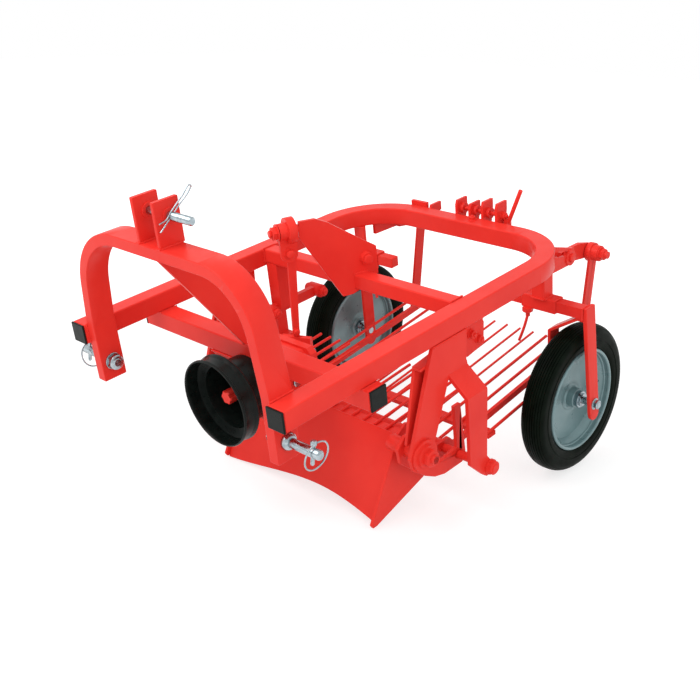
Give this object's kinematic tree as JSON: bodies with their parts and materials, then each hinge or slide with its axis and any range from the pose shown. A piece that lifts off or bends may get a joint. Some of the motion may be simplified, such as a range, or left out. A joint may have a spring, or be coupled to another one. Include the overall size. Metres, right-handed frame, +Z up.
{
  "type": "mounted vibrating potato digger",
  "caption": "Three point mounted potato digger: U frame of square tube, hitch hoop, wide share, rod grate, tilting rear sieve and trailing wheels.",
  "frame": {"origin": "middle of the bounding box, on the floor the digger is parked on", "axes": "+X to the machine's left side, +Y to its rear, +Z up; it is parked nose-down on its share and wheels"},
  "size_m": [0.976, 1.2994, 0.8285],
  "materials": {
    "red_paint": "glossy orange-red powder coat",
    "tyre_rubber": "black solid rubber",
    "rim_grey": "silver grey paint",
    "zinc_steel": "bright zinc plate",
    "black_plastic": "moulded black plastic"
  },
  "bodies": {
    "frame": {"main_frame": "red_paint", "front_cross_tube": "red_paint", "middle_crossbar": "red_paint", "tube_end_caps": "black_plastic", "hitch_hoop": "red_paint", "hoop_brace": "red_paint", "top_link_plates": "red_paint", "top_link_pin": "zinc_steel", "lower_pin_left": "zinc_steel", "lower_pin_right": "zinc_steel", "gearbox": "red_paint", "gearbox_plate": "red_paint", "pto_guard": "black_plastic", "pto_guard_neck": "black_plastic", "pivot_stand": "red_paint", "pivot_pin": "red_paint", "share": "red_paint", "share_side_plates": "red_paint", "share_arms": "red_paint", "wheel_posts": "red_paint", "hangers": "red_paint", "hanger_channels": "red_paint", "crossbar_posts": "red_paint", "share_grate": "red_paint", "sieve_pins": "red_paint", "share_pins": "red_paint", "adjuster_plates": "red_paint", "corner_brackets": "red_paint"},
    "carrier_left": {"wheel_arm_left": "red_paint", "wheel_fork_left": "red_paint", "axle_left": "zinc_steel"},
    "carrier_right": {"wheel_arm_right": "red_paint", "wheel_fork_right": "red_paint", "axle_right": "zinc_steel"},
    "wheel_left": {"tyre_left": "tyre_rubber", "rim_left": "rim_grey"},
    "wheel_right": {"tyre_right": "tyre_rubber", "rim_right": "rim_grey"},
    "pto_shaft": {"pto_shaft": "red_paint"},
    "drive_rocker": {"drive_rocker": "red_paint"},
    "sieve": {"rear_sieve": "red_paint", "sieve_rear_pins": "red_paint"},
    "tail_rocker": {"tail_rocker": "red_paint"},
    "tail_link_left": {"tail_link_left": "red_paint"},
    "tail_link_right": {"tail_link_right": "red_paint"}
  },
  "joints": [
    {"name": "carrier_left_slide", "type": "slide", "parent": "frame", "child": "carrier_left", "axis": [1, 0, 0], "range_m": [0, 0.06]},
    {"name": "carrier_right_slide", "type": "slide", "parent": "frame", "child": "carrier_right", "axis": [-1, 0, 0], "range_m": [0, 0.06]},
    {"name": "wheel_left_spin", "type": "hinge", "parent": "carrier_left", "child": "wheel_left", "pos_m": [0.406, 0.43746, 0.21322], "axis": [1, 0, 0], "continuous": true},
    {"name": "wheel_right_spin", "type": "hinge", "parent": "carrier_right", "child": "wheel_right", "pos_m": [-0.406, 0.43746, 0.21322], "axis": [1, 0, 0], "continuous": true},
    {"name": "pto_spin", "type": "hinge", "parent": "frame", "child": "pto_shaft", "pos_m": [0, -0.42424, 0.32465], "axis": [0, 0.9853, 0.1708], "continuous": true},
    {"name": "drive_rocker_swing", "type": "hinge", "parent": "frame", "child": "drive_rocker", "pos_m": [-0.04957, -0.19523, 0.68101], "axis": [0.3746, 0.9136, 0.1584], "range_deg": [-4, 4]},
    {"name": "sieve_tilt", "type": "hinge", "parent": "frame", "child": "sieve", "pos_m": [0, 0.04137, 0.14455], "axis": [1, 0, 0], "range_deg": [-3, 3]},
    {"name": "tail_rocker_turn", "type": "hinge", "parent": "frame", "child": "tail_rocker", "pos_m": [0, 0.50104, 0.57237], "axis": [1, 0, 0], "range_deg": [-14, 14]},
    {"name": "tail_link_left_swing", "type": "hinge", "parent": "tail_rocker", "child": "tail_link_left", "pos_m": [0.308, 0.62273, 0.56708], "axis": [1, 0, 0], "range_deg": [-15.8, 15.8]},
    {"name": "tail_link_right_swing", "type": "hinge", "parent": "tail_rocker", "child": "tail_link_right", "pos_m": [-0.308, 0.62273, 0.56708], "axis": [1, 0, 0], "range_deg": [-15.8, 15.8]}
  ],
  "couplings": [
    {"joint": "tail_rocker_turn", "follows": "sieve_tilt", "ratio": 4.6564},
    {"joint": "tail_link_left_swing", "follows": "sieve_tilt", "ratio": -5.2383},
    {"joint": "tail_link_right_swing", "follows": "sieve_tilt", "ratio": -5.2383}
  ]
}
